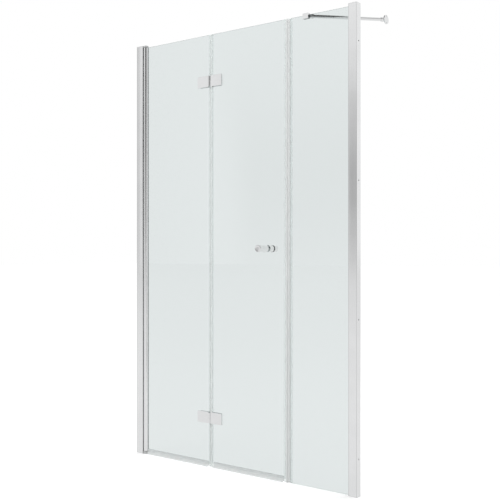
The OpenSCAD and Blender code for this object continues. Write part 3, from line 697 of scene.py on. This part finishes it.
class SHOWERDOOR_OT_wall_profiles(DoorOperator, bpy.types.Operator):
    """Finish the wall profiles, their caps, the pivot profile and the carrier"""
    bl_idname = "shower_door.wall_profiles"
    bl_label = "Wall profiles"

    def execute(self, context):
        colours, sizes = self.settings(context)
        # The crowned aluminium carries a painted shade along the profile faces' edges
        crowned = drawn_aluminium("crowned_aluminium", colours.profile_colour, sizes.profile_crown)
        bright = drawn_aluminium("drawn_aluminium", colours.profile_colour)
        finish_nodes(("left_wall_profile", "right_wall_profile"), crowned, sizes.profile_edge)
        finish_node("pivot_profile", bright, sizes.small_edge)
        finish_nodes(("left_profile_cap", "right_profile_cap"), bright, sizes.metal_edge)
        finish_node("glass_carrier", satin_aluminium(colours.profile_colour), sizes.small_edge)
        return {"FINISHED"}


class SHOWERDOOR_OT_pivots(DoorOperator, bpy.types.Operator):
    """Finish the pivot blocks and their bushes"""
    bl_idname = "shower_door.pivots"
    bl_label = "Pivots"

    def execute(self, context):
        colours, sizes = self.settings(context)
        block = moulded_plastic("grey_moulding", colours.block_colour, roughness=0.42)
        bush = moulded_plastic("bush_nylon", colours.nylon_colour, roughness=0.35)
        finish_nodes(("upper_pivot_block", "lower_pivot_block"), block, sizes.small_edge)
        finish_nodes(("upper_pivot_bush", "lower_pivot_bush"), bush, sizes.small_edge)
        return {"FINISHED"}


class SHOWERDOOR_OT_seals(DoorOperator, bpy.types.Operator):
    """Finish the seals, the base strip, the magnet strips and the rubber parts"""
    bl_idname = "shower_door.seals"
    bl_label = "Seals and gaskets"

    def execute(self, context):
        colours, sizes = self.settings(context)
        seal = colours.seal_colour
        clear = clear_seal("clear_seal", seal, CLEAR_COVER)
        folding = clear_seal(
            "fold_seal", seal, CLEAR_COVER,
            core=FOLD, core_colour=colours.bulb_colour, core_cover=0.35)
        closing = clear_seal(
            "closing_seal", seal, CLEAR_COVER,
            core=CLOSING, core_colour=colours.head_colour, core_cover=0.3)
        milky = clear_seal("milky_seal", seal, cover=0.8)
        bottom = clear_seal("bottom_seal", shade(seal, factor=0.9), cover=0.5)
        finish_nodes(("wall_leaf_bottom_seal", "handle_leaf_bottom_seal"), bottom, sizes.small_edge)
        finish_node("base_strip", clear, sizes.small_edge)
        finish_nodes(("wall_leaf_fold_seal", "handle_leaf_fold_seal"), folding, sizes.small_edge)
        finish_nodes(("door_magnet_seal", "strike_seal"), closing, sizes.small_edge)
        finish_node("channel_seal_strip", milky, sizes.small_edge)
        magnet = soft_rubber("magnet_strip", colours.magnet_colour, roughness=0.5)
        finish_nodes(("door_magnet", "strike_magnet"), magnet)
        rubber = soft_rubber("grey_rubber", colours.rubber_colour, roughness=0.6)
        finish_nodes(("glazing_gaskets", "setting_block", "bar_clamp_pads"), rubber, sizes.small_edge)
        return {"FINISHED"}


class SHOWERDOOR_OT_hinges(DoorOperator, bpy.types.Operator):
    """Finish the fold hinges' plates, knuckles, pads and washers, and the knobs' sleeve"""
    bl_idname = "shower_door.hinges"
    bl_label = "Fold hinges"

    def execute(self, context):
        colours, sizes = self.settings(context)
        chrome = chrome_plate(colours.chrome_colour)
        nylon = moulded_plastic("clear_nylon", colours.nylon_colour, roughness=0.4)
        for level in ("upper", "lower"):
            for side in ("wall", "handle"):
                finish_node(f"{level}_outer_plate_{side}", chrome, sizes.metal_edge)
                finish_node(f"{level}_back_plate_{side}", chrome, sizes.metal_edge)
                finish_node(f"{level}_knuckle_{side}", chrome, sizes.small_edge)
        finish_nodes(("wall_hinge_pads", "handle_hinge_pads", "hinge_washers", "knob_sleeve"), nylon)
        return {"FINISHED"}


class SHOWERDOOR_OT_knobs(DoorOperator, bpy.types.Operator):
    """Make the two turned knobs and the buffer ring, and finish the washers"""
    bl_idname = "shower_door.knobs"
    bl_label = "Knobs"

    def base(self, edge):
        """Outline from the bottom of the bore, over the neck, to the turned side"""
        return [
            (0.0, BORE_DEPTH), (BORE_RADIUS, BORE_DEPTH), (BORE_RADIUS, 0.0),
            (NECK_RADIUS - NECK_CHAMFER, 0.0), (NECK_RADIUS, NECK_CHAMFER), (NECK_RADIUS, NECK_LENGTH),
            *rounded(KNOB_RADIUS - edge, NECK_LENGTH + edge, edge, -90, 0)]

    def end(self, edge, dish):
        """Outline from the turned side, over the rim, to the middle of the dished end"""
        rim = rounded(KNOB_RADIUS - edge, KNOB_LENGTH - edge, edge, 0, 90)
        slope = [
            (KNOB_RADIUS - RIM_WIDTH_IN_EDGES * edge - dish * DISH_SLOPE * k / DISH_STEPS,
             KNOB_LENGTH - dish * (1 - math.cos(math.pi * k / DISH_STEPS)) / 2)
            for k in range(DISH_STEPS + 1)]
        middle = [
            (KNOB_RADIUS * DISH_FLOOR_AT, KNOB_LENGTH - dish * DISH_FLOOR_DEPTH),
            (0.0, KNOB_LENGTH - dish * DISH_MIDDLE_DEPTH)]
        return rim + slope + middle

    def groove(self, low, high):
        """Outline of the groove for a ring that lies between two distances"""
        bottom = KNOB_RADIUS - GROOVE_DEPTH
        lip = KNOB_RADIUS - LIP_DEPTH
        return [
            (KNOB_RADIUS, low - LIP_REACH), (lip, low - RING_PLAY), (bottom, low - RING_PLAY),
            (bottom, high + RING_PLAY), (lip, high + RING_PLAY), (KNOB_RADIUS, high + LIP_REACH)]

    def ring(self, low, high):
        """Outline of the buffer ring between two distances, round on its outside"""
        inside = KNOB_RADIUS - GROOVE_DEPTH + RING_PLAY
        crown = (RING_HIGH.x - RING_LOW.x) / 2 - RING_ROUNDING
        return [
            (inside, low),
            *rounded(crown, low + RING_ROUNDING, RING_ROUNDING, -90, 0),
            *rounded(crown, high - RING_ROUNDING, RING_ROUNDING, 0, 90),
            (inside, high), (inside, low)]

    def execute(self, context):
        colours, sizes = self.settings(context)
        # The knobs' turned sides carry a painted reflection in a brighter colour
        chrome = chrome_plate(colours.chrome_colour, "knob_chrome", colours.knob_side_painted_reflection_colour)
        centre_x = (KNOB_LOW.x + KNOB_HIGH.x) / 2
        centre_z = (KNOB_LOW.z + KNOB_HIGH.z) / 2
        outer_start = (centre_x, KNOB_HIGH.y, centre_z)
        inner_start = (centre_x, INNER_LOW.y, centre_z)
        low = RING_LOW.y - INNER_LOW.y
        high = RING_HIGH.y - INNER_LOW.y
        base = self.base(sizes.knob_edge)
        end = self.end(sizes.knob_edge, sizes.knob_dish)
        outer = lathe("outer_knob_turned", base + end, outer_start, OUTWARD)
        smooth(outer, KNOB_SHARP_ANGLE)
        piece(outer, chrome, "outer_knob")
        inner = lathe("inner_knob_turned", base + self.groove(low, high) + end, inner_start, INWARD)
        smooth(inner, KNOB_SHARP_ANGLE)
        piece(inner, chrome, "inner_knob")
        ring = lathe("knob_buffer_ring", self.ring(low, high), inner_start, INWARD)
        smooth(ring, RING_SHARP_ANGLE)
        piece(ring, soft_rubber("black_rubber", colours.black_colour, roughness=0.45), "inner_knob_ring")
        nylon = moulded_plastic("clear_nylon", colours.nylon_colour, roughness=0.4)
        finish_node("knob_washers", nylon, sizes.small_edge)
        return {"FINISHED"}


class SHOWERDOOR_OT_support_bar(DoorOperator, bpy.types.Operator):
    """Finish the support bar, its glass clamp and its wall bracket"""
    bl_idname = "shower_door.support_bar"
    bl_label = "Support bar"

    def execute(self, context):
        colours, sizes = self.settings(context)
        chrome = chrome_plate(colours.chrome_colour)
        finish_nodes(("bar_clamp", "bar_wall_bracket"), chrome, sizes.metal_edge)
        finish_node("support_bar", chrome, sizes.small_edge)
        return {"FINISHED"}


class SHOWERDOOR_OT_fasteners(DoorOperator, bpy.types.Operator):
    """Finish the screws, pins and stud"""
    bl_idname = "shower_door.fasteners"
    bl_label = "Fasteners"

    def execute(self, context):
        colours, sizes = self.settings(context)
        fasteners = (
            "upper_pivot_pin", "lower_pivot_pin", "pivot_block_screws", "carrier_screws",
            "bar_clamp_screw", "bar_grub_screws", "wall_hinge_screws", "handle_hinge_screws",
            "hinge_pins", "knob_stud")
        finish_nodes(fasteners, turned_steel(colours.steel_colour), sizes.small_edge)
        return {"FINISHED"}


class SHOWERDOOR_OT_studio(DoorOperator, bpy.types.Operator):
    """Set up the camera, the pale floor, the backdrop light and the lamps"""
    bl_idname = "shower_door.studio"
    bl_label = "Studio"

    def paint(self, s, reflected, glow, tone=(1.0, 1.0, 1.0, 1.0)):
        """Matt paint that also glows, so that the pale floor meets the backdrop"""
        matt = s.add("ShaderNodeBsdfDiffuse", {}, {"Color": (reflected, reflected, reflected, 1.0)})
        shine = s.add("ShaderNodeEmission", {}, {"Color": tone, "Strength": glow})
        return s.add("ShaderNodeAddShader", {}, {0: matt, 1: shine})

    def mirrored_tone(self, s):
        """Colour of the mirrored floor's glow: greyer far off, and dark at the card"""
        far = s.vector_math("LENGTH", s.place()).ramp(*FLOOR_FADE)
        fading = s.mix_colour(far, FLOOR_NEAR_GLOW, FLOOR_FAR_GLOW)
        from_bar = s.vector_math("SUBTRACT", s.place(), BAR_CLAMP_END, out="Vector")
        along = s.vector_math("DOT_PRODUCT", from_bar, BAR_ALONG) / s.vector_math("LENGTH", from_bar)
        aside = s.vector_math("DOT_PRODUCT", from_bar, BAR_ASIDE)
        card = along.band(*CARD_ALONG) * aside.ramp(*CARD_ASIDE_ON_FLOOR)
        return s.mix_colour(card, fading, CARD_COLOUR)

    def floor(self, studio):
        """Pale floor under the door"""
        half = studio.floor_size / 2
        corners = ((-half, -half), (half, -half), (half, half), (-half, half))
        bm = bmesh.new()
        bm.faces.new([bm.verts.new((x, y, -FLOOR_DROP)) for x, y in corners])
        floor = bm_object("studio_floor", bm)
        mat, s = material("floor_paint")
        seen = self.paint(s, *FLOOR_SEEN)
        through = self.paint(s, *FLOOR_THROUGH_GLASS)
        mirrored = self.paint(s, *FLOOR_MIRRORED, self.mirrored_tone(s))
        plain = self.paint(s, *FLOOR_PLAIN)
        met = s.mix_shader(s.light_path("Is Transmission Ray"), plain, through)
        met = s.mix_shader(s.mirrored_once(), met, mirrored)
        s.surface(s.mix_shader(s.light_path("Is Camera Ray"), met, seen))
        floor.data.materials.append(mat)

    def room_light(self, s):
        """Strength of the light that metal mirrors: 1, and less in the room's darker places"""
        ray = s.add("ShaderNodeTexCoord", out="Generated")
        x, y, z = (s.part(ray, axis) for axis in "XYZ")
        directions = {
            "right": x, "left": -x, "front": -y, "up": z,
            "along": x + y, "against": -(x + y), "aside": x - y}
        darkness = {**DARKNESS, "side": DARKNESS["side"] + SIDE_DARKER_BY * z.ramp(*SIDE_DARKER_UP)}
        light = 1.0
        for name, reaches in DARK_PLACES.items():
            place = math.prod(directions[way].band(*reach) for way, reach in reaches.items())
            light = light * (1.0 - darkness[name] * place)
        return light

    def world(self, context, studio):
        """Even light on the door, white where the camera or glass looks, the room where metal does"""
        world = bpy.data.worlds.new("studio_world")
        context.scene.world = world
        world.use_nodes = True
        s = Shader(world.node_tree)
        plain = s.background(studio.ambient)
        white = s.background(1.0)
        mirrored = s.background(self.room_light(s))
        seen = s.light_path("Is Camera Ray") + s.light_path("Is Transmission Ray")
        lit = s.mix_shader(seen.capped(), plain, white)
        s.add("ShaderNodeOutputWorld", {}, {"Surface": s.mix_shader(s.mirrored_once(), lit, mirrored)})

    def lamp(self, name, place, size, power):
        """Soft square lamp that isn't seen, directly or in metal or glass"""
        data = bpy.data.lights.new(name, "AREA")
        data.shape = "SQUARE"
        data.size = size
        data.energy = power
        lamp = bpy.data.objects.new(name, data)
        bpy.context.scene.collection.objects.link(lamp)
        lamp.location = place
        lamp.rotation_mode = "QUATERNION"
        lamp.rotation_quaternion = (Vector(LAMP_TARGET) - Vector(place)).to_track_quat("-Z", "Y")
        lamp.visible_glossy = False
        lamp.visible_camera = False
        lamp.visible_transmission = False

    def camera(self, context, studio):
        """Level camera, turned to the door"""
        data = bpy.data.cameras.new("door_camera")
        data.sensor_width = SENSOR_WIDTH
        data.lens = studio.lens
        data.clip_start, data.clip_end = CAMERA_REACH
        camera = bpy.data.objects.new("door_camera", data)
        context.scene.collection.objects.link(camera)
        camera.location = studio.camera_place
        camera.rotation_euler = (math.pi / 2, 0.0, studio.camera_azimuth)
        context.scene.camera = camera

    def execute(self, context):
        studio = context.scene.shower_door_studio
        context.scene.view_settings.view_transform = "Standard"
        self.floor(studio)
        self.world(context, studio)
        self.lamp("key_lamp", KEY_LAMP_PLACE, studio.lamp_size, studio.lamp_power)
        self.lamp("fill_lamp", FILL_LAMP_PLACE, studio.lamp_size, studio.lamp_power * FILL_LAMP_SHARE)
        self.camera(context, studio)
        return {"FINISHED"}


class SHOWERDOOR_PT_panel(bpy.types.Panel):
    """Sidebar panel of the shower door"""
    bl_label = "Shower door"
    bl_idname = "SHOWERDOOR_PT_panel"
    bl_space_type = "VIEW_3D"
    bl_region_type = "UI"
    bl_category = "Shower door"

    def draw(self, context):
        layout = self.layout
        for operator in OPERATORS:
            layout.operator(operator.bl_idname)
        scene = context.scene
        for group in (scene.shower_door_finishes, scene.shower_door_sizes, scene.shower_door_studio):
            box = layout.box()
            for name in group.__annotations__:
                box.prop(group, name)


OPERATORS = (
    SHOWERDOOR_OT_glass, SHOWERDOOR_OT_wall_profiles, SHOWERDOOR_OT_pivots, SHOWERDOOR_OT_seals,
    SHOWERDOOR_OT_hinges, SHOWERDOOR_OT_knobs, SHOWERDOOR_OT_support_bar, SHOWERDOOR_OT_fasteners,
    SHOWERDOOR_OT_studio,
)
CLASSES = (ShowerDoorFinishes, ShowerDoorSizes, ShowerDoorStudio, *OPERATORS, SHOWERDOOR_PT_panel)


def register():
    for cls in CLASSES:
        bpy.utils.register_class(cls)
    scene = bpy.types.Scene
    scene.shower_door_finishes = bpy.props.PointerProperty(type=ShowerDoorFinishes)
    scene.shower_door_sizes = bpy.props.PointerProperty(type=ShowerDoorSizes)
    scene.shower_door_studio = bpy.props.PointerProperty(type=ShowerDoorStudio)


def unregister():
    for name in ("shower_door_finishes", "shower_door_sizes", "shower_door_studio"):
        delattr(bpy.types.Scene, name)
    for cls in reversed(CLASSES):
        bpy.utils.unregister_class(cls)


def main():
    register()
    for operator in OPERATORS:
        group, name = operator.bl_idname.split(".")
        getattr(getattr(bpy.ops, group), name)()


if __name__ == "__main__":
    main()
